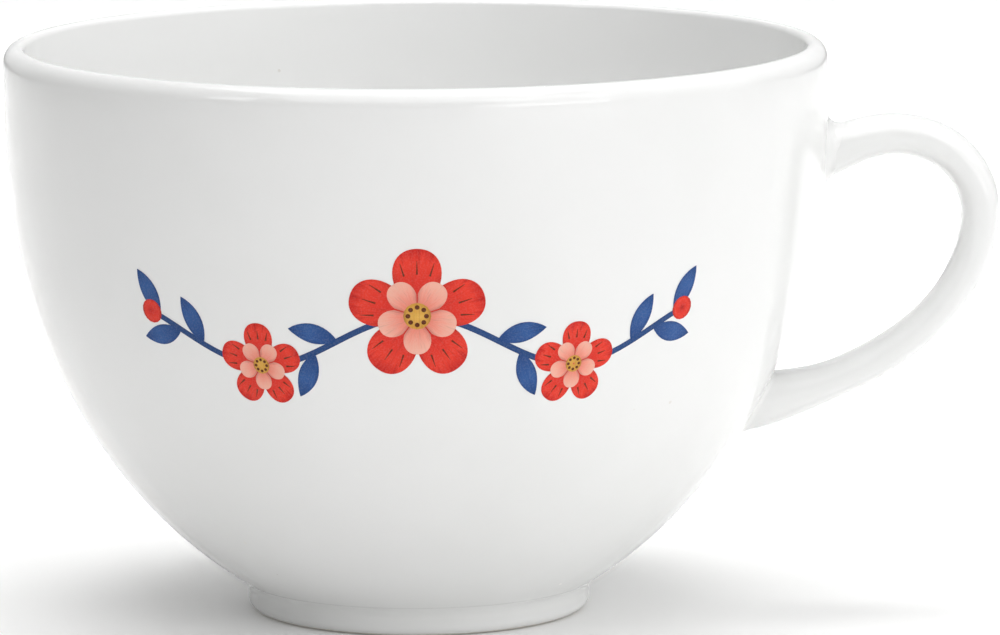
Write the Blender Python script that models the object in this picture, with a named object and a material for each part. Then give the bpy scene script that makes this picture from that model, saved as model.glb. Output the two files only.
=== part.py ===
"""Teacup: a turned porcelain bowl on a foot ring, with a strap handle stuck on with slip.

Metres, +Z up. The origin is under the middle of the whole cup, on the plane it stands on,
and the handle points along +X. The cup's own axis stands to the -X side of the origin.
"""

from math import acos, cos, pi, radians, sin, tau

import bmesh
import bpy
from mathutils import Vector
from mathutils.geometry import interpolate_bezier

# Driving dimensions
WALL_RADIUS = 0.0525            # outside of the wall at its widest ring
CUP_HEIGHT = 0.0730
LIP_THICKNESS = 0.0027
LIP_ROUNDING = (0.0019, 0.0022) # quarter ellipse outside the lip's crest, across and down
FLOOR_TOP = 0.0066              # inside bottom, above the standing plane
FOOT_RADIUS = 0.0219            # outside of the foot ring
FOOT_FACE = (0.0188, 0.0202)    # inner and outer radius of the flat that the cup stands on
FOOT_ROUNDING = 0.0013          # height at which the outer side turns under to that flat
FOOT_INNER_ROUNDING = 0.0006
FOOT_DRAFT = 0.0003             # how much the foot's inner side leans in towards the top
HANDLE_REACH = 0.0746           # outermost point of the handle, from the cup's axis
HANDLE_WIDTH = 0.0088           # across the strap, along Y
SLIP_THICKNESS = 0.0012         # the layer of clay that joins the handle to the wall
SLIP_MARGIN = 0.0016            # how much larger that layer is than the handle's section
JOINT_GAP = 0.0003              # kept between neighbouring solids

# Below its widest ring the wall is a quarter of a superellipse, and above it straight.
BELLY_HEIGHT = 0.0657
OUTER_DEPTH = 0.0693            # from the widest ring down to the outer curve's pole
OUTER_POWERS = (1.78, 2.22)     # across and down
INNER_POWERS = (3.16, 1.77)

# Centre line of the handle in the XZ plane, measured from the cup's axis. Each Bezier knot
# stands between its two control points. Both ends are inside the wall, which cuts them off.
OUTERMOST_THICKNESS = 0.0050
OUTERMOST_X = HANDLE_REACH - OUTERMOST_THICKNESS / 2
HANDLE_LINE = (
    (None, (0.0480, 0.0559), (0.0522, 0.0589)),
    ((0.0582, 0.0608), (0.0608, 0.0608), (0.0687, 0.0608)),
    ((OUTERMOST_X, 0.0552), (OUTERMOST_X, 0.0508), (OUTERMOST_X, 0.0388)),
    ((0.0586, 0.0274), (0.0385, 0.0259), None),
)
# Thickness of the strap at places along that line, counted in knots.
HANDLE_THICKNESS = ((0.0, 0.0066), (0.35, 0.0058), (0.7, 0.0052), (1.0, 0.0050), (1.5, 0.0051),
                    (2.0, OUTERMOST_THICKNESS), (2.4, 0.0041), (2.7, 0.0044), (3.0, 0.0076))
UPPER_ROOT = (0.0, 0.7)         # stretches of the line that the two slip joints follow
LOWER_ROOT = (2.6, 3.0)

# Fineness of the faceted solids
TURNED_SEGMENTS = 72
WALL_STEPS = 12
LIP_STEPS = 6
HANDLE_STEPS = 12               # rings in each curve of the handle
SECTION_POINTS = 20
SECTION_POWER = 3.2             # squareness of the strap's section, where 2 is an ellipse


def clear_scene():
    for old in list(bpy.data.objects):
        bpy.data.objects.remove(old, do_unlink=True)


def make_material(name, colour, roughness):
    material = bpy.data.materials.new(name)
    material.use_nodes = True
    shader = material.node_tree.nodes["Principled BSDF"]
    shader.inputs["Base Color"].default_value = (*colour, 1.0)
    shader.inputs["Roughness"].default_value = roughness
    shader.inputs["Metallic"].default_value = 0.0
    return material


def add_object(name, bm, parent, material=None):
    """Turn the bmesh into a smooth-shaded object on the cup's axis."""
    bmesh.ops.remove_doubles(bm, verts=bm.verts, dist=1e-7)
    bmesh.ops.recalc_face_normals(bm, faces=bm.faces)
    mesh = bpy.data.meshes.new(name)
    bm.to_mesh(mesh)
    bm.free()
    mesh.shade_smooth()
    mesh.set_sharp_from_angle(angle=radians(40))
    obj = bpy.data.objects.new(name, mesh)
    obj.parent = parent
    bpy.context.collection.objects.link(obj)
    if material:
        mesh.materials.append(material)
    return obj


def add_boolean(obj, operation, cutter):
    modifier = obj.modifiers.new(operation.title(), "BOOLEAN")
    modifier.operation = operation
    modifier.object = cutter
    cutter.hide_render = True
    cutter.display_type = "WIRE"


def superellipse(radius, depth, powers, end, steps):
    """Outline (r, z) from the widest ring down to the angle end, where 90 degrees is the pole."""
    outline = []
    for step in range(steps + 1):
        angle = end * step / steps
        across = max(cos(angle), 0.0) ** (2 / powers[0])
        down = sin(angle) ** (2 / powers[1])
        outline.append((radius * across, BELLY_HEIGHT - depth * down))
    return outline


def outer_wall():
    """Outline of the outer wall from its widest ring down to where the foot ring begins."""
    end = acos((FOOT_RADIUS / WALL_RADIUS) ** (OUTER_POWERS[0] / 2))
    return superellipse(WALL_RADIUS, OUTER_DEPTH, OUTER_POWERS, end, WALL_STEPS)


def quarter_ellipse(centre, across, down, start, steps):
    """A quarter turn of an ellipse about centre, counter-clockwise from the angle start."""
    outline = []
    for step in range(steps + 1):
        angle = start + pi / 2 * step / steps
        outline.append((centre[0] + across * cos(angle), centre[1] + down * sin(angle)))
    return outline


def turn(name, outline, parent, material=None):
    """Turn an (r, z) outline once round the cup's axis, closed on the axis or as a ring."""
    bm = bmesh.new()
    verts = [bm.verts.new((r, 0.0, z)) for r, z in outline]
    edges = [bm.edges.new(pair) for pair in zip(verts, verts[1:])]
    if outline[0][0] > 0.0:
        edges.append(bm.edges.new((verts[-1], verts[0])))
    bmesh.ops.spin(bm, geom=verts + edges, axis=(0, 0, 1), cent=(0, 0, 0), angle=tau,
                   steps=TURNED_SEGMENTS, use_merge=True)
    return add_object(name, bm, parent, material)


def make_bowl(parent, material):
    wall = outer_wall()
    across, down = LIP_ROUNDING
    inside = LIP_THICKNESS - across
    crest = WALL_RADIUS - across
    lip = quarter_ellipse((crest, CUP_HEIGHT - down), across, down, 0.0, LIP_STEPS)
    lip += quarter_ellipse((crest, CUP_HEIGHT - inside), inside, inside, pi / 2, LIP_STEPS // 2)[1:]
    inner = superellipse(WALL_RADIUS - LIP_THICKNESS, BELLY_HEIGHT - FLOOR_TOP, INNER_POWERS,
                         pi / 2, WALL_STEPS)
    inner[-1] = (0.0, FLOOR_TOP)
    return turn("bowl", [(0.0, wall[-1][1])] + wall[::-1] + lip + inner, parent, material)


def make_foot_ring(parent, material):
    top = outer_wall()[-1][1] - JOINT_GAP
    inner, outer = FOOT_FACE
    inner_side = inner - FOOT_INNER_ROUNDING
    outline = [(FOOT_RADIUS, top), (inner_side - FOOT_DRAFT, top)]
    outline += quarter_ellipse((inner, FOOT_INNER_ROUNDING), FOOT_INNER_ROUNDING,
                               FOOT_INNER_ROUNDING, pi, LIP_STEPS // 2)
    outline += quarter_ellipse((outer, FOOT_ROUNDING), FOOT_RADIUS - outer, FOOT_ROUNDING,
                               -pi / 2, LIP_STEPS)
    return turn("foot_ring", outline, parent, material)


def wall_block(name, clearance, parent):
    """Solid cutter that fills the cup out to the given clearance beyond its outer wall."""
    wall = [Vector(point) for point in outer_wall()]
    outline = [(0.0, CUP_HEIGHT), (WALL_RADIUS + clearance, CUP_HEIGHT)]
    for before, point, after in zip([wall[0]] + wall, wall, wall[1:] + [wall[-1]]):
        along = (after - before).normalized()
        outline.append(tuple(point + clearance * Vector((-along.y, along.x))))
    outline.append((0.0, outline[-1][1]))
    return turn(name, outline, parent)


def handle_line():
    """Points of the handle's centre line with their place on it, counted in knots."""
    line = []
    for index, (start, end) in enumerate(zip(HANDLE_LINE, HANDLE_LINE[1:])):
        corners = [Vector((x, 0.0, z)) for x, z in (start[1], start[2], end[0], end[1])]
        points = interpolate_bezier(*corners, HANDLE_STEPS + 1)
        line += [(index + step / HANDLE_STEPS, point) for step, point in enumerate(points)][:-1]
    return line + [(len(HANDLE_LINE) - 1.0, points[-1])]


def strap_thickness(place):
    for (start, thick), (end, thick_after) in zip(HANDLE_THICKNESS, HANDLE_THICKNESS[1:]):
        if place <= end:
            blend = max((place - start) / (end - start), 0.0)
            return thick + (thick_after - thick) * blend
    return HANDLE_THICKNESS[-1][1]


def strap_ring(bm, point, along, thickness, width):
    """One section of the strap, square to its line and rounded to a superellipse."""
    outward = Vector((-along.z, 0.0, along.x))
    ring = []
    for step in range(SECTION_POINTS):
        angle = tau * (step + 0.5) / SECTION_POINTS
        size = (abs(cos(angle)) ** SECTION_POWER + abs(sin(angle)) ** SECTION_POWER) ** (-1 / SECTION_POWER)
        place = point + outward * (cos(angle) * size * thickness / 2)
        place.y += sin(angle) * size * width / 2
        ring.append(bm.verts.new(place))
    edges = [bm.edges.new((ring[i - 1], ring[i])) for i in range(SECTION_POINTS)]
    return ring, edges


def sweep_strap(name, first, last, margin, parent, material):
    """Sweep the strap's section along its line, from place first to place last."""
    line = handle_line()
    bm = bmesh.new()
    rings = []
    for index, (place, point) in enumerate(line):
        if not first - 1e-6 <= place <= last + 1e-6:
            continue
        along = line[min(index + 1, len(line) - 1)][1] - line[max(index - 1, 0)][1]
        rings.append(strap_ring(bm, point, along.normalized(), strap_thickness(place) + margin,
                                HANDLE_WIDTH + margin))
    for (_, edges), (_, next_edges) in zip(rings, rings[1:]):
        bmesh.ops.bridge_loops(bm, edges=edges + next_edges)
    for ring, _ in (rings[0], rings[-1]):
        bm.faces.new(ring)
    return add_object(name, bm, parent, material)


def build_teacup():
    clear_scene()
    axis = bpy.data.objects.new("cup_axis", None)
    axis.location.x = (WALL_RADIUS - HANDLE_REACH) / 2
    bpy.context.collection.objects.link(axis)

    glaze = make_material("glazed_porcelain", (0.90, 0.90, 0.88), 0.08)
    foot_glaze = make_material("foot_porcelain", (0.86, 0.85, 0.82), 0.30)
    handle_glaze = make_material("handle_porcelain", (0.88, 0.88, 0.86), 0.08)
    slip_glaze = make_material("slip_porcelain", (0.92, 0.92, 0.90), 0.12)

    make_bowl(axis, glaze)
    make_foot_ring(axis, foot_glaze)

    wall = wall_block("wall_clearance", JOINT_GAP, axis)
    slip = wall_block("slip_limit", JOINT_GAP + SLIP_THICKNESS, axis)
    handle_end = wall_block("handle_limit", 2 * JOINT_GAP + SLIP_THICKNESS, axis)

    handle = sweep_strap("handle", 0.0, 3.0, 0.0, axis, handle_glaze)
    add_boolean(handle, "DIFFERENCE", handle_end)
    for name, (first, last) in (("upper_slip_joint", UPPER_ROOT), ("lower_slip_joint", LOWER_ROOT)):
        joint = sweep_strap(name, first, last, SLIP_MARGIN, axis, slip_glaze)
        add_boolean(joint, "INTERSECT", slip)
        add_boolean(joint, "DIFFERENCE", wall)


build_teacup()
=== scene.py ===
from math import acos, atan2, cos, floor, hypot, pi, radians, sin, tau

import bmesh
import bpy
from mathutils import Matrix, Vector
from mathutils.geometry import interpolate_bezier


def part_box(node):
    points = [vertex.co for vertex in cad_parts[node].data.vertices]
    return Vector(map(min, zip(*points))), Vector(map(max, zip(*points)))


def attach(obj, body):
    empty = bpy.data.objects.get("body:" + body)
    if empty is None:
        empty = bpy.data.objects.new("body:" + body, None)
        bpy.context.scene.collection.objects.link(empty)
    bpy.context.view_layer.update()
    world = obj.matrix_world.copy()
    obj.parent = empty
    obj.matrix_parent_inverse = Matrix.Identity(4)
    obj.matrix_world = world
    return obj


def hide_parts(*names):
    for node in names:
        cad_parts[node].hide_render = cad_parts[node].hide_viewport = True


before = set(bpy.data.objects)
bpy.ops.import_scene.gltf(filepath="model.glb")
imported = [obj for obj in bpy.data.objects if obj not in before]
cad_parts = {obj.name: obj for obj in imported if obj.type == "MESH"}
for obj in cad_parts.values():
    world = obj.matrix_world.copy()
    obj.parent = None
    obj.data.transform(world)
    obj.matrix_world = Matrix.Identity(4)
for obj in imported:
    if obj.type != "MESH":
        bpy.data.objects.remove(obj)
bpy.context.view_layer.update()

# Places and sizes all come from the frame's own boxes.
bowlLow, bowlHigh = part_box("bowl")
footLow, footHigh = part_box("foot_ring")
handleLow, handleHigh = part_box("handle")
axisX = (bowlLow.x + bowlHigh.x) / 2
wallRadius = (bowlHigh.x - bowlLow.x) / 2
cupHeight = bowlHigh.z
bowlBottom = bowlLow.z
footRadius = (footHigh.x - footLow.x) / 2
handleReach = handleHigh.x - axisX
mm = 0.001


class Wire:
    # an output socket that can be used in sums
    def __init__(self, tree, socket):
        self.tree, self.socket = tree, socket

    def combine(self, operation, first, second):
        node = self.tree.nodes.new("ShaderNodeMath")
        node.operation = operation
        plug(self.tree, first, node.inputs[0])
        plug(self.tree, second, node.inputs[1])
        return Wire(self.tree, node.outputs[0])

    def __add__(self, other):
        return self.combine("ADD", self, other)

    def __radd__(self, other):
        return self.combine("ADD", other, self)

    def __sub__(self, other):
        return self.combine("SUBTRACT", self, other)

    def __rsub__(self, other):
        return self.combine("SUBTRACT", other, self)

    def __mul__(self, other):
        return self.combine("MULTIPLY", self, other)

    def __rmul__(self, other):
        return self.combine("MULTIPLY", other, self)

    def __pow__(self, other):
        return self.combine("POWER", self, other)

    def __lt__(self, other):
        return self.combine("LESS_THAN", self, other)

    def __gt__(self, other):
        return self.combine("GREATER_THAN", self, other)


def plug(tree, value, socket):
    if isinstance(value, Wire):
        tree.links.new(value.socket, socket)
    elif hasattr(value, "__len__") and len(value) == 3 and socket.type == "RGBA":
        socket.default_value = (*value, 1.0)
    else:
        socket.default_value = value


class Finish:
    # one material, whose nodes all come from node()
    def __init__(self, name):
        self.material = bpy.data.materials.new(name)
        self.material.use_nodes = True
        self.tree = self.material.node_tree
        self.shader = self.tree.nodes["Principled BSDF"]

    def node(self, kind, settings, sockets, output=0):
        made = self.tree.nodes.new(kind)
        for setting, value in settings.items():
            if setting == "stops":
                ramp = made.color_ramp
                while len(ramp.elements) < len(value):
                    ramp.elements.new(0.5)
                for element, (place, colour) in zip(ramp.elements, value):
                    element.position = place
                    element.color = (*colour, 1.0)
            else:
                setattr(made, setting, value)
        for socket, value in sockets.items():
            plug(self.tree, value, made.inputs[socket])
        return Wire(self.tree, made.outputs[output])

    def place(self):
        # where a point lies, measured from the cup's axis
        raw = self.node("ShaderNodeTexCoord", {}, {}, "Object")
        return self.node("ShaderNodeMapping", {}, {"Vector": raw, "Location": (-axisX, 0, 0)})

    def noise(self, where, scale, detail=2.0, rough=0.5):
        return self.node("ShaderNodeTexNoise", {}, {"Vector": where, "Scale": scale, "Detail": detail,
                                                    "Roughness": rough}, "Fac")

    def cells(self, where, scale):
        return self.node("ShaderNodeTexVoronoi", {"feature": "F1"}, {"Vector": where, "Scale": scale},
                         "Distance")

    def mixColour(self, factor, first, second, blend="MIX"):
        return self.node("ShaderNodeMix", {"data_type": "RGBA", "blend_type": blend},
                         {0: factor, 6: first, 7: second}, 2)

    def ramp(self, factor, stops):
        return self.node("ShaderNodeValToRGB", {"stops": stops}, {0: factor})

    def spread(self, value, low, high, newLow=0.0, newHigh=1.0):
        return self.node("ShaderNodeMapRange", {"clamp": True}, {0: value, 1: low, 2: high,
                                                                 3: newLow, 4: newHigh})

    def bump(self, height, strength, distance, after=None):
        sockets = {"Height": height, "Strength": strength, "Distance": distance}
        if after:
            sockets["Normal"] = after
        return self.node("ShaderNodeBump", {}, sockets)

    def feed(self, **sockets):
        for name, value in sockets.items():
            plug(self.tree, value, self.shader.inputs[name.replace("_", " ")])
        return self.material


def newPiece(name, bm, material, replaced=None):
    bmesh.ops.remove_doubles(bm, verts=bm.verts, dist=1e-7)
    bmesh.ops.recalc_face_normals(bm, faces=bm.faces)
    return addPiece(name, bm, [material], replaced)


def addPiece(name, bm, materials, replaced=None):
    mesh = bpy.data.meshes.new(name)
    bm.to_mesh(mesh)
    bm.free()
    mesh.shade_smooth()
    piece = bpy.data.objects.new(name, mesh)
    for material in materials:
        mesh.materials.append(material)
    bpy.context.scene.collection.objects.link(piece)
    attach(piece, "root")
    if replaced:
        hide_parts(replaced)
    return piece


def turn(outline, steps):
    # spins an (r, z) outline once round the cup's axis
    bm = bmesh.new()
    verts = [bm.verts.new((axisX + r, 0.0, z)) for r, z in outline]
    edges = [bm.edges.new(pair) for pair in zip(verts, verts[1:])]
    if outline[0][0] > 0.0:
        edges.append(bm.edges.new((verts[-1], verts[0])))
    bmesh.ops.spin(bm, geom=verts + edges, axis=(0, 0, 1), cent=(axisX, 0, 0), angle=tau,
                   steps=steps, use_merge=True)
    return bm


def quarter(centre, across, up, start, steps):
    return [(centre[0] + across * cos(start + pi / 2 * step / steps),
             centre[1] + up * sin(start + pi / 2 * step / steps)) for step in range(steps + 1)]


def curveThrough(corners, steps):
    # a quadratic curve from the first corner to the last, pulled to the middle one
    first, middle, last = (Vector(corner).to_3d() for corner in corners)
    points = interpolate_bezier(first, first.lerp(middle, 2 / 3), last.lerp(middle, 2 / 3), last, steps + 1)
    return [tuple(point[:len(corners[0])]) for point in points]


glazeSettings = {
    "colour": (0.845, 0.847, 0.842),
    "cloud": (0.800, 0.806, 0.794),      # where the glaze lies a little thicker
    "cloudSize": 34.0,
    "roughness": (0.05, 0.11),
    "ripple": 0.000020,                  # orange peel, in metres
    "rippleSize": 110.0,
    "grain": 0.0000012,
}


def makeGlaze(name, settings, tint=(1.0, 1.0, 1.0)):
    finish = Finish(name)
    where = finish.place()
    cloud = finish.noise(where, settings["cloudSize"], 3.0)
    fine = finish.noise(where, 900.0, 2.0)
    colour = tuple(a * b for a, b in zip(settings["colour"], tint))
    thick = tuple(a * b for a, b in zip(settings["cloud"], tint))
    base = finish.mixColour(finish.spread(cloud, 0.45, 0.75, 0.0, 0.6), colour, thick)
    # tiny iron specks and pinholes, far apart
    cells = finish.cells(where, 320.0)
    chosen = finish.noise(where, 75.0, 1.0)
    speck = (cells < 0.075) * (chosen > 0.66)
    base = finish.mixColour(speck * 0.35, base, (0.42, 0.38, 0.31))
    smudge = finish.noise(where, 60.0, 4.0, 0.6)
    low, high = settings["roughness"]
    rough = finish.spread(smudge, 0.35, 0.75, low, high) + speck * 0.2
    peel = finish.noise(where, settings["rippleSize"], 1.5)
    wide = finish.bump(peel, 1.0, settings["ripple"])
    normal = finish.bump(fine - speck, 1.0, settings["grain"], wide)
    finish.shader.inputs["IOR"].default_value = 1.52
    return finish.feed(Base_Color=base, Roughness=rough, Normal=normal)


bowlGlaze = makeGlaze("bowl_glaze", glazeSettings)
handleGlaze = makeGlaze("handle_glaze", glazeSettings, (0.995, 0.995, 0.995))
slipGlaze = makeGlaze("slip_glaze", dict(glazeSettings, ripple=0.000012))


def makeFootFinish():
    # glazed sides, and a bare resting edge with the grain of fired clay
    finish = Finish("foot_glaze")
    where = finish.place()
    height = finish.node("ShaderNodeSeparateXYZ", {}, {0: where}, "Z")
    wander = finish.noise(where, 260.0, 3.0) * 0.00035
    bare = 1 - finish.spread(height + wander, 0.00042, 0.00062)
    grain = finish.noise(where, 2600.0, 4.0, 0.7)
    cloud = finish.noise(where, 45.0, 3.0)
    glaze = finish.mixColour(cloud, glazeSettings["colour"], glazeSettings["cloud"])
    clay = finish.mixColour(finish.spread(grain, 0.35, 0.7), (0.78, 0.755, 0.70), (0.60, 0.57, 0.51))
    # use leaves grey rubbed patches on the bare edge
    rubbed = finish.spread(finish.noise(where, 150.0, 3.0, 0.7), 0.5, 0.7, 0.0, 0.45)
    clay = finish.mixColour(rubbed, clay, (0.46, 0.44, 0.41))
    base = finish.mixColour(bare, glaze, clay)
    rough = bare * 0.5 + finish.spread(cloud, 0.3, 0.7, 0.05, 0.09)
    peel = finish.bump(finish.noise(where, 120.0, 1.5), 1.0, 0.000015)
    normal = finish.bump(grain * bare, 1.0, 0.00003, peel)
    finish.shader.inputs["IOR"].default_value = 1.52
    return finish.feed(Base_Color=base, Roughness=rough, Normal=normal)


footFinish = makeFootFinish()
print("glazes mixed")


bowl = {
    "bellyHeight": 0.0657,
    "outerDepth": 0.0693,
    "outerPowers": (1.78, 2.22),
    "innerPowers": (3.16, 1.77),
    "lip": 0.0027,
    "lipRounding": (0.0019, 0.0022),
    "floorTop": 0.0066,
    "wallSteps": 44,
    "lipSteps": 8,
    "turnSteps": 180,
}


def wallAt(height):
    # outer radius of the wall at a height, the outer side of the lip included
    across, up = bowl["lipRounding"]
    above = (height - cupHeight + up) / up
    if above > 0:
        return wallRadius - across + across * max(1 - above * above, 0.0) ** 0.5
    down = max(bowl["bellyHeight"] - height, 0.0) / bowl["outerDepth"]
    across, power = bowl["outerPowers"]
    return wallRadius * (1 - down ** power) ** (1 / across)


def wallSlope(height, step):
    return (wallAt(height + step) - wallAt(height - step)) / (2 * step)


def superellipse(radius, depth, powers, end, steps):
    outline = []
    for step in range(steps + 1):
        angle = end * step / steps
        outline.append((radius * max(cos(angle), 0.0) ** (2 / powers[0]),
                        bowl["bellyHeight"] - depth * sin(angle) ** (2 / powers[1])))
    return outline


def makeBowl():
    end = acos((footRadius / wallRadius) ** (bowl["outerPowers"][0] / 2))
    wall = superellipse(wallRadius, bowl["outerDepth"], bowl["outerPowers"], end, bowl["wallSteps"])
    across, up = bowl["lipRounding"]
    inside = bowl["lip"] - across
    crest = wallRadius - across
    lip = quarter((crest, cupHeight - up), across, up, 0.0, bowl["lipSteps"])
    lip += quarter((crest, cupHeight - inside), inside, inside, pi / 2, bowl["lipSteps"])[1:]
    inner = superellipse(wallRadius - bowl["lip"], bowl["bellyHeight"] - bowl["floorTop"],
                         bowl["innerPowers"], pi / 2, bowl["wallSteps"])
    inner[-1] = (0.0, bowl["floorTop"])
    bm = turn([(0.0, wall[-1][1]), (footRadius * 0.55, wall[-1][1])] + wall[::-1] + lip + inner,
              bowl["turnSteps"])
    return newPiece("glazed_bowl", bm, bowlGlaze, "bowl")


foot = {
    "face": (0.0188, 0.0202),
    "outerRounding": 0.0013,
    "innerRounding": 0.0006,
    "wallFillet": (0.0009, 0.0010),
    "recessFillet": 0.0009,
    "buried": 0.0006,
    "skim": 0.00004,           # how far the fillet's edge lies from the wall's glaze
    "wallRise": 0.62,          # slope of the wall just above the ring
    "curveSteps": 8,
    "turnSteps": 144,
}


def makeFootRing():
    inner, outer = foot["face"]
    side = inner - foot["innerRounding"]
    reach, drop = foot["wallFillet"]
    top = bowlBottom + foot["buried"]
    # where the fillet runs out on the wall, a hair below the glaze
    outX = footRadius + reach
    outZ = bowlBottom + foot["wallRise"] * reach + foot["skim"]
    outline = quarter((inner, foot["innerRounding"]), foot["innerRounding"], foot["innerRounding"], pi, 6)
    outline += quarter((outer, foot["outerRounding"]), footRadius - outer, foot["outerRounding"],
                       -pi / 2, 10)
    outline += curveThrough(((footRadius, bowlBottom - drop), (footRadius, bowlBottom), (outX, outZ)),
                            foot["curveSteps"])
    outline += [(footRadius - 0.0005, top), (side - 0.0007, top)]
    curl = foot["recessFillet"]
    outline += curveThrough(((side - 0.0003 - curl, bowlBottom + 0.00003), (side - 0.0003, bowlBottom),
                             (side - 0.0002, bowlBottom - curl)), foot["curveSteps"])
    bm = turn(outline, foot["turnSteps"])
    return newPiece("turned_foot_ring", bm, footFinish, "foot_ring")


makeBowl()
makeFootRing()
print("bowl and foot ring turned")


backLine = handleReach - 0.0025    # centre line of the strap's outermost stretch
strap = {
    "line": (((0.0480, 0.0559), (0.0522, 0.0589)),
             ((0.0582, 0.0608), (0.0608, 0.0608), (0.0687, 0.0608)),
             ((backLine, 0.0552), (backLine, 0.0508), (backLine, 0.0388)),
             ((0.0586, 0.0274), (0.0385, 0.0259))),
    "thickness": ((0.0, 0.0066), (0.35, 0.0058), (0.7, 0.0052), (1.0, 0.0050), (1.5, 0.0051),
                  (2.0, 0.0050), (2.4, 0.0041), (2.7, 0.0044), (3.0, 0.0076)),
    "width": handleHigh.y - handleLow.y,
    "squareness": 2.7,
    "sectionPoints": 48,
    "rings": 96,
    "buried": 0.0012,
}


def strapCentre(place):
    # point and direction of the centre line, with place counted in knots
    knot = min(int(place), len(strap["line"]) - 2)
    corners = (*strap["line"][knot][-2:], *strap["line"][knot + 1][:2])
    a, b, c, d = (Vector(corner) for corner in corners)
    t = place - knot
    s = 1 - t
    point = a * s ** 3 + b * 3 * s * s * t + c * 3 * s * t * t + d * t ** 3
    along = (b - a) * s * s + (c - b) * 2 * s * t + (d - c) * t * t
    return point, along.normalized()


def strapThickness(place):
    for (start, thick), (end, thickAfter) in zip(strap["thickness"], strap["thickness"][1:]):
        if place <= end:
            blend = (place - start) / (end - start)
            blend = blend * blend * (3 - 2 * blend)
            return thick + (thickAfter - thick) * blend
    return strap["thickness"][-1][1]


def strapSkin(place, angle):
    # point on the strap's surface, measured from the cup's axis
    centre, along = strapCentre(place)
    power = strap["squareness"]
    size = (abs(cos(angle)) ** power + abs(sin(angle)) ** power) ** (-1 / power)
    out = cos(angle) * size * strapThickness(place) / 2
    side = sin(angle) * size * strap["width"] / 2
    return Vector((centre.x - along.y * out, side, centre.y + along.x * out))


def depthInWall(point):
    return wallAt(point.z) - hypot(point.x, point.y)


def placeAtDepth(angle, inside, outside, depth):
    # walks from a place inside the wall to one outside it
    for _ in range(40):
        middle = (inside + outside) / 2
        if depthInWall(strapSkin(middle, angle)) > depth:
            inside = middle
        else:
            outside = middle
    return (inside + outside) / 2


def loopOf(bm, points):
    verts = [bm.verts.new((axisX + point.x, point.y, point.z)) for point in points]
    return [bm.edges.new((verts[index - 1], verts[index])) for index in range(len(verts))]


def bridgeAll(bm, loops, closed):
    pairs = list(zip(loops, loops[1:]))
    if closed:
        pairs.append((loops[-1], loops[0]))
    for before, after in pairs:
        bmesh.ops.bridge_loops(bm, edges=before + after)


angles = [tau * (index + 0.5) / strap["sectionPoints"] for index in range(strap["sectionPoints"])]


def makeHandle():
    starts = [placeAtDepth(angle, 0.0, 0.9, strap["buried"]) for angle in angles]
    ends = [placeAtDepth(angle, 3.0, 2.2, strap["buried"]) for angle in angles]
    bm = bmesh.new()
    loops = []
    for ring in range(strap["rings"] + 1):
        share = ring / strap["rings"]
        loops.append(loopOf(bm, [strapSkin(start + (end - start) * share, angle)
                                 for angle, start, end in zip(angles, starts, ends)]))
    bridgeAll(bm, loops, False)
    for loop in (loops[0], loops[-1]):
        bmesh.ops.contextual_create(bm, geom=loop)
    return newPiece("strap_handle", bm, handleGlaze, "handle")


# the hidden back of each fillet lies inside the clay of the wall and the strap
slip = {
    "curveSteps": 9,
    "skim": 0.00002,
    "edgeDepth": 0.0005,
    "edgeDraw": 0.3,
    "rootDepth": 0.0004,
    "rootDraw": 0.0006,
    "upper": {"span": (0.0, 0.9), "size": 0.0017, "topExtra": 0.9, "pull": 0.72},
    "lower": {"span": (3.0, 2.2), "size": 0.0009, "topExtra": 0.3, "pull": 0.7},
}


def makeSlipFillet(name, root, replaced):
    # a hollow curve of slip from the wall up on to the strap, closed inside the clay
    inside, outside = root["span"]
    steps = slip["curveSteps"]
    rows = [[] for _ in range(steps + 2)]
    for angle in angles:
        meet = placeAtDepth(angle, inside, outside, 0.0)
        corner = strapSkin(meet, angle)
        # up the strap by the fillet's size
        size = root["size"] * (1 + root["topExtra"] * max(cos(angle), 0.0))
        near, far = meet, outside
        for _ in range(30):
            middle = (near + far) / 2
            if (strapSkin(middle, angle) - corner).length < size:
                near = middle
            else:
                far = middle
        onStrap = strapSkin(near, angle)
        flat = strapCentre(meet)[0]
        centre = Vector((flat.x, 0.0, flat.y))
        away = corner - centre
        wallNormal = Vector((corner.x, corner.y, 0.0)).normalized()
        slope = wallSlope(corner.z, 0.0002)
        wallNormal = (wallNormal - Vector((0, 0, slope))).normalized()
        away = (away - wallNormal * away.dot(wallNormal)).normalized()
        onWall = corner + away * size
        radius = wallAt(onWall.z) - slip["skim"]
        scale = radius / hypot(onWall.x, onWall.y)
        onWall = Vector((onWall.x * scale, onWall.y * scale, onWall.z))
        sunk = onStrap + (centre - onStrap).normalized() * slip["skim"]
        curve = interpolate_bezier(sunk, sunk.lerp(corner, root["pull"]),
                                   onWall.lerp(corner, root["pull"]), onWall, steps)
        for row, point in zip(rows, curve):
            row.append(point)
        rows[steps].append(onWall - wallNormal * slip["edgeDepth"] - away * size * slip["edgeDraw"])
        rows[steps + 1].append(corner - wallNormal * slip["rootDepth"]
                               + (centre - corner).normalized() * slip["rootDraw"])
    bm = bmesh.new()
    bridgeAll(bm, [loopOf(bm, row) for row in rows], True)
    return newPiece(name, bm, slipGlaze, replaced)


makeHandle()
makeSlipFillet("upper_slip_fillet", slip["upper"], "upper_slip_joint")
makeSlipFillet("lower_slip_fillet", slip["lower"], "lower_slip_joint")
print("handle joined on")

# The print is drawn flat, in millimetres: x runs round the wall from its front, y is the height
# above the table. It is then cut into small faces and bent on to the wall.
printing = {
    "spread": 50.0,        # millimetres of x for one radian round the wall
    "cell": 1.1,           # largest face
    "lift": 0.020,         # lowest ink above the glaze
    "layer": 0.004,        # from one ink layer to the next
}


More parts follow.
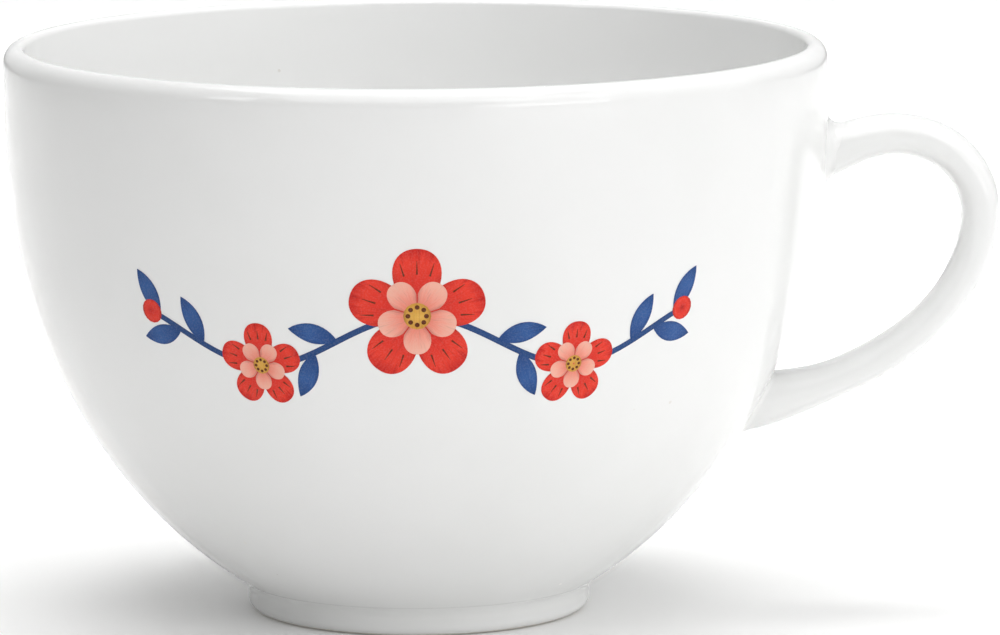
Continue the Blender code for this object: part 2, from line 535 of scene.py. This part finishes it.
def bendOnWall(point):
    turnAngle = point.x / printing["spread"]
    height = point.y * mm
    radius = wallAt(height)
    slope = wallSlope(height, 0.0001)
    normal = Vector((sin(turnAngle), -cos(turnAngle), -slope)).normalized()
    onWall = Vector((axisX + radius * sin(turnAngle), -radius * cos(turnAngle), height))
    return onWall + normal * point.z * mm, normal


def printPiece(name, shapes, finishes):
    bm = bmesh.new()
    number = bm.faces.layers.int.new("shape")
    uvs = bm.loops.layers.uv.new("UVMap")
    inks = list(finishes)
    for index, shape in enumerate(shapes):
        lift = printing["lift"] + printing["layer"] * shape["layer"]
        face = bm.faces.new([bm.verts.new((x, y, lift)) for x, y in shape["outline"]])
        face.normal_update()
        if face.normal.z < 0:
            face.normal_flip()
        face[number] = index
        face.material_index = inks.index(shape["ink"])
    for axis in (0, 1):
        places = [vert.co[axis] for vert in bm.verts]
        place = floor(min(places)) + printing["cell"] / 2
        while place < max(places):
            direction = Vector((1.0 - axis, float(axis), 0.0))
            cut = direction * place
            bmesh.ops.bisect_plane(bm, geom=bm.verts[:] + bm.edges[:] + bm.faces[:], dist=1e-5,
                                   plane_co=cut, plane_no=direction)
            place += printing["cell"]
    bmesh.ops.triangulate(bm, faces=bm.faces[:])
    for face in bm.faces:
        across = shapes[face[number]]["across"]
        for loop in face.loops:
            loop[uvs].uv = across(loop.vert.co.x, loop.vert.co.y)
    normals = []
    bm.verts.index_update()
    for vert in bm.verts:
        vert.co, normal = bendOnWall(vert.co)
        normals.append(normal)
    piece = addPiece(name, bm, [finishes[ink] for ink in inks])
    piece.data.normals_split_custom_set_from_vertices(normals)
    return piece


def alongLine(line):
    # u across and v along a flat line, for the shape built round it
    lengths = [0.0]
    for before, after in zip(line, line[1:]):
        lengths.append(lengths[-1] + (after - before).length)

    def across(x, y, half):
        point = Vector((x, y))
        best = None
        for index, (before, after) in enumerate(zip(line, line[1:])):
            run = after - before
            t = min(max((point - before).dot(run) / run.length_squared, 0.0), 1.0)
            gap = point - before.lerp(after, t)
            if best is None or gap.length < best[0]:
                sign = 1.0 if run.x * gap.y - run.y * gap.x > 0 else -1.0
                best = (gap.length, sign, (lengths[index] + run.length * t) / lengths[-1])
        return 0.5 + 0.48 * min(best[0] / half, 1.0) * best[1], best[2]
    return across


def sideOf(line, index):
    run = line[min(index + 1, len(line) - 1)] - line[max(index - 1, 0)]
    return Vector((-run.y, run.x)).normalized()


def leaf(start, heading, length, width, side):
    # a plain almond leaf that curves a little to one side
    forward = Vector((cos(radians(heading)), sin(radians(heading))))
    left = Vector((-forward.y, forward.x))
    steps = 12
    line = [Vector(start) + forward * length * t + left * side * 0.12 * length * t * t
            for t in (index / steps for index in range(steps + 1))]
    flanks = ([], [])
    for index, point in enumerate(line):
        half = max(width / 2 * sin(pi * index / steps) ** 0.8, 0.04) if 0 < index < steps else 0.04
        for flank, way in zip(flanks, (1, -1)):
            flank.append(tuple(point + sideOf(line, index) * way * half))
    place = alongLine(line)
    return {"outline": flanks[0] + flanks[1][::-1], "ink": "leaf", "layer": 1,
            "across": lambda x, y: place(x, y, width / 2)}


def stroke(line, widths, layer, ink):
    # a line drawn with a brush, from the first width to the last
    count = len(line) - 1
    flanks = ([], [])
    for index, point in enumerate(line):
        half = (widths[0] + (widths[1] - widths[0]) * index / count) / 2
        for flank, side in zip(flanks, (1, -1)):
            flank.append(tuple(point + sideOf(line, index) * side * half))
    place = alongLine(line)
    half = max(widths) / 2
    return {"outline": flanks[0] + flanks[1][::-1], "ink": ink, "layer": layer,
            "across": lambda x, y: place(x, y, half)}


def petal(centre, heading, length, spread, layer, ink):
    # a round-ended lobe that opens from the centre of a flower
    centre = Vector(centre)
    steps = 24
    outline = [tuple(centre)]
    for index in range(steps + 1):
        t = 2 * index / steps - 1
        reach = length * (1 - 0.42 * abs(t) ** 2.4)
        turned = radians(heading + spread * t)
        outline.append(tuple(centre + Vector((cos(turned), sin(turned))) * reach))

    def across(x, y):
        gap = Vector((x, y)) - centre
        angle = (atan2(gap.y, gap.x) * 180 / pi - heading + 180) % 360 - 180
        return 0.5 + 0.46 * max(min(angle / spread, 1), -1), min(gap.length / length, 1.0)
    return {"outline": outline, "ink": ink, "layer": layer, "across": across}


def dot(centre, size, layer, ink):
    centre = Vector(centre)
    outline = [tuple(centre + Vector((cos(tau * index / 16), sin(tau * index / 16))) * size)
               for index in range(16)]

    def across(x, y):
        gap = (Vector((x, y)) - centre) / size
        return 0.5 + 0.48 * max(min(gap.x, 1), -1), min(gap.length, 1.0)
    return {"outline": outline, "ink": ink, "layer": layer, "across": across}


inkStops = {
    # plain enamel colours from the root of a shape (0) to its outer edge (1)
    "red": ((0.0, (0.30, 0.01, 0.01)), (0.35, (0.66, 0.03, 0.02)), (0.8, (0.78, 0.05, 0.03)),
            (1.0, (0.55, 0.02, 0.015))),
    "rose": ((0.0, (0.70, 0.10, 0.07)), (0.6, (0.86, 0.34, 0.26)), (1.0, (0.88, 0.48, 0.38))),
    "gold": ((0.0, (0.78, 0.46, 0.10)), (1.0, (0.60, 0.30, 0.05))),
    "brown": ((0.0, (0.12, 0.03, 0.01)), (1.0, (0.12, 0.03, 0.01))),
    "leaf": ((0.0, (0.02, 0.06, 0.20)), (0.6, (0.04, 0.11, 0.32)), (1.0, (0.02, 0.06, 0.20))),
    "stem": ((0.0, (0.025, 0.07, 0.21)), (1.0, (0.025, 0.07, 0.21))),
}


def makeInk(name, stops, streaks=0.09, fineness=20.0):
    # fired print: soft streaks along each shape, a fine dot screen, and the gloss of the glaze
    finish = Finish("print_" + name)
    uv = finish.node("ShaderNodeTexCoord", {}, {}, "UV")
    where = finish.place()
    along = finish.node("ShaderNodeSeparateXYZ", {}, {0: uv}, "Y")
    acrossShape = finish.node("ShaderNodeSeparateXYZ", {}, {0: uv}, "X")
    stretched = finish.node("ShaderNodeMapping", {}, {"Vector": uv, "Scale": (fineness, 1.3, 1.0)})
    drift = finish.node("ShaderNodeVectorMath", {"operation": "SCALE"}, {0: where, "Scale": 60.0})
    threads = finish.node("ShaderNodeVectorMath", {"operation": "ADD"}, {0: stretched, 1: drift})
    streak = finish.spread(finish.noise(threads, 1.0, 3.0, 0.65), 0.32, 0.68, -1.0, 1.0)
    blot = finish.noise(where, 700.0, 3.0, 0.6) - 0.5
    base = finish.ramp(along + streak * streaks + blot * (streaks * 0.8), stops)
    # ink gathers along the edges of each shape
    rim = finish.spread(acrossShape * (1 - acrossShape) * 4 + streak * 0.14, 0.15, 0.60, 1.0, 0.0)
    base = finish.mixColour(rim * 0.45, base, (0.35, 0.30, 0.36), "MULTIPLY")
    base = finish.mixColour(finish.spread(streak, 0.35, 0.9) * 0.25, base, (0.45, 0.32, 0.34), "MULTIPLY")
    cells = finish.cells(where, 5200.0)
    gaps = finish.spread(cells, 0.45, 0.75)
    base = finish.mixColour(gaps * 0.03, base, (0.88, 0.80, 0.78))
    rough = finish.spread(blot, -0.2, 0.3, 0.05, 0.12)
    peel = finish.bump(finish.noise(where, glazeSettings["rippleSize"], 1.5), 1.0, glazeSettings["ripple"])
    normal = finish.bump(blot + gaps * 0.3, 1.0, 0.0000015, peel)
    finish.shader.inputs["IOR"].default_value = 1.52
    finish.shader.inputs["Specular IOR Level"].default_value = 0.10
    return finish.feed(Base_Color=base, Roughness=rough, Normal=normal)


inks = {name: makeInk(name, stops) for name, stops in inkStops.items()}


def inksFor(*names):
    return {name: inks[name] for name in names}


# a plain mirrored vine round the front of the cup, with round five-petalled flowers on it
vine = {
    "height": 42.0,
    "sway": 3.4,
    "wave": 40.0,
    "reach": 35.0,
    "stemWidth": (0.75, 0.75),
    "leafGap": 3.0,
    "leafSize": (6.2, 2.5),
    "leafAngle": 48,
    "bud": 1.5,
}
flower = {
    "petals": 5,
    "spread": 34,
    "inner": 0.58,             # reach of the inner ring beside the outer one
    "eye": 0.20,
    "seeds": 8,
    "folds": (-0.5, 0.0, 0.5),
}
# where each flower sits along the vine, and how far its petals reach
flowers = {"centre_flower_print": ((0.0, 8.4),), "small_flower_print": ((-20.0, 5.4), (20.0, 5.4))}


def vinePoint(x):
    return Vector((x, vine["height"] + vine["sway"] * cos(tau * x / vine["wave"])))


def around(centre, radius, degrees):
    return centre + Vector((cos(radians(degrees)), sin(radians(degrees)))) * radius


def flowerShapes(x, reach):
    centre = vinePoint(x)
    turnEach = 360 / flower["petals"]
    shapes = []
    for index in range(flower["petals"]):
        heading = 90 + turnEach * index
        shapes.append(petal(centre, heading, reach, flower["spread"], 2, "red"))
        for fold in flower["folds"]:
            angle = heading + flower["spread"] * fold
            line = [around(centre, reach * share, angle) for share in (0.62, 0.72, 0.82)]
            shapes.append(stroke(line, (0.22, 0.05), 3, "brown"))
        shapes.append(petal(centre, heading + turnEach / 2, reach * flower["inner"], flower["spread"],
                            4, "rose"))
    shapes.append(dot(centre, reach * flower["eye"], 5, "gold"))
    for index in range(flower["seeds"]):
        place = around(centre, reach * flower["eye"] * 0.66, 360 * index / flower["seeds"])
        shapes.append(dot(place, reach * 0.035, 6, "brown"))
    return shapes


def makeVine():
    reach, gap = vine["reach"], vine["leafGap"]
    shapes = [stroke([vinePoint(-reach + 2 * reach * index / 80) for index in range(81)],
                     vine["stemWidth"], 0, "stem")]
    heads = [spot for spots in flowers.values() for spot in spots]
    for way in (-1, 1):
        for number in range(1, int(reach / gap) + 1):
            x = way * (number * gap + 0.8)
            if any(abs(x - headX) < size * 0.9 for headX, size in heads):
                continue
            start = vinePoint(x)
            run = vinePoint(x + way * 0.1) - start
            side = way if number % 2 else -way
            heading = atan2(run.y, run.x) * 180 / pi + side * vine["leafAngle"]
            shapes.append(leaf(start, heading, *vine["leafSize"], -side))
        shapes.append(dot(vinePoint(way * reach), vine["bud"], 2, "red"))
    printPiece("vine_and_leaf_print", shapes, inksFor("stem", "leaf", "red"))


for flowerPiece, spots in flowers.items():
    printPiece(flowerPiece, [shape for spot in spots for shape in flowerShapes(*spot)],
               inksFor("red", "rose", "gold", "brown"))
makeVine()
print("flowers printed")

studio = {
    "floorSize": 9.0,
    "floorColour": (0.93, 0.93, 0.925),
    "floorGlow": 0.05,         # lightens the shadow round the foot
    "skyBack": 0.77,           # brightness of the surroundings straight behind the cup
    "skyAround": 0.02,
    # softboxes: place from the cup's axis, aim, width and height, watts, spread in degrees
    "softboxes": {
        "top_front": ((0.0, -1.1, 1.2), (0, 0, 0.03), (2.0, 1.0), 7.6, 180),
        "overhead": ((0.0, 0.0, 0.75), (0, 0, 0.03), (0.7, 0.7), 3.3, 180),
        "right_side": ((1.1, -0.2, 0.55), (0, 0, 0.04), (1.2, 1.1), 3.8, 180),
        "right_front": ((0.8, -1.0, 0.55), (0, 0, 0.04), (0.8, 1.0), 3.3, 180),
        "low_front": ((0.75, -1.1, 0.16), (0, 0, 0.0), (0.9, 0.28), 1.7, 180),
        "left_window": ((-0.75, -0.55, 0.55), (0, 0, 0.05), (0.22, 0.30), 0.6, 180),
        "backdrop": ((0.0, 0.4, 0.9), (0, 0.45, 0.0), (1.2, 0.7), 2.3, 55),
    },
}


def makeFloor():
    bm = bmesh.new()
    bmesh.ops.create_grid(bm, x_segments=1, y_segments=1, size=studio["floorSize"] / 2)
    mesh = bpy.data.meshes.new("studio_floor")
    bm.to_mesh(mesh)
    bm.free()
    floorPiece = bpy.data.objects.new("studio_floor", mesh)
    bpy.context.scene.collection.objects.link(floorPiece)
    finish = Finish("studio_floor")
    where = finish.node("ShaderNodeTexCoord", {}, {}, "Object")
    tone = finish.noise(where, 3.0, 3.0)
    base = finish.mixColour(tone, studio["floorColour"], tuple(0.985 * c for c in studio["floorColour"]))
    finish.shader.inputs["Specular IOR Level"].default_value = 0.2
    finish.shader.inputs["Emission Color"].default_value = (1.0, 1.0, 1.0, 1.0)
    finish.shader.inputs["Emission Strength"].default_value = studio["floorGlow"]
    mesh.materials.append(finish.feed(Base_Color=base, Roughness=finish.spread(tone, 0.3, 0.7, 0.55, 0.65)))


def makeLight(name, place, target, size, power, spread):
    light = bpy.data.lights.new(name, "AREA")
    light.shape = "RECTANGLE"
    light.size, light.size_y = size
    light.energy = power
    light.spread = radians(spread)
    lamp = bpy.data.objects.new(name, light)
    lamp.location = Vector(place) + Vector((axisX, 0, 0))
    aim = Vector(target) + Vector((axisX, 0, 0)) - lamp.location
    lamp.rotation_euler = aim.to_track_quat("-Z", "Y").to_euler()
    bpy.context.scene.collection.objects.link(lamp)


def makeWorld():
    world = bpy.data.worlds.new("studio")
    world.use_nodes = True
    bpy.context.scene.world = world
    tree = world.node_tree
    direction = tree.nodes.new("ShaderNodeTexCoord").outputs["Generated"]
    split = tree.nodes.new("ShaderNodeSeparateXYZ")
    tree.links.new(direction, split.inputs[0])
    toBack = Wire(tree, split.outputs["Y"]) * 0.5 + 0.5
    glow = toBack ** 3 * studio["skyBack"] + studio["skyAround"]
    plug(tree, glow, tree.nodes["Background"].inputs["Color"])


def makeCamera():
    view = {"place": (0.0, -0.86483, 0.17144), "turn": 0.703, "down": 8.814, "roll": -0.251, "lens": 245.79}
    camera = bpy.data.cameras.new("camera")
    camera.lens = view["lens"]
    camera.sensor_width = 36.0
    camera.clip_start, camera.clip_end = 0.01, 50.0
    viewer = bpy.data.objects.new("camera", camera)
    turned = (Matrix.Rotation(-radians(view["turn"]), 4, "Z")
              @ Matrix.Rotation(pi / 2 - radians(view["down"]), 4, "X")
              @ Matrix.Rotation(radians(view["roll"]), 4, "Z"))
    viewer.matrix_world = Matrix.Translation(Vector(view["place"]) + Vector((axisX, 0, 0))) @ turned
    bpy.context.scene.collection.objects.link(viewer)
    bpy.context.scene.camera = viewer


makeFloor()
makeWorld()
for lightName, boxSettings in studio["softboxes"].items():
    makeLight(lightName, *boxSettings)
makeCamera()
bpy.context.scene.view_settings.view_transform = "Standard"
print("studio lit")
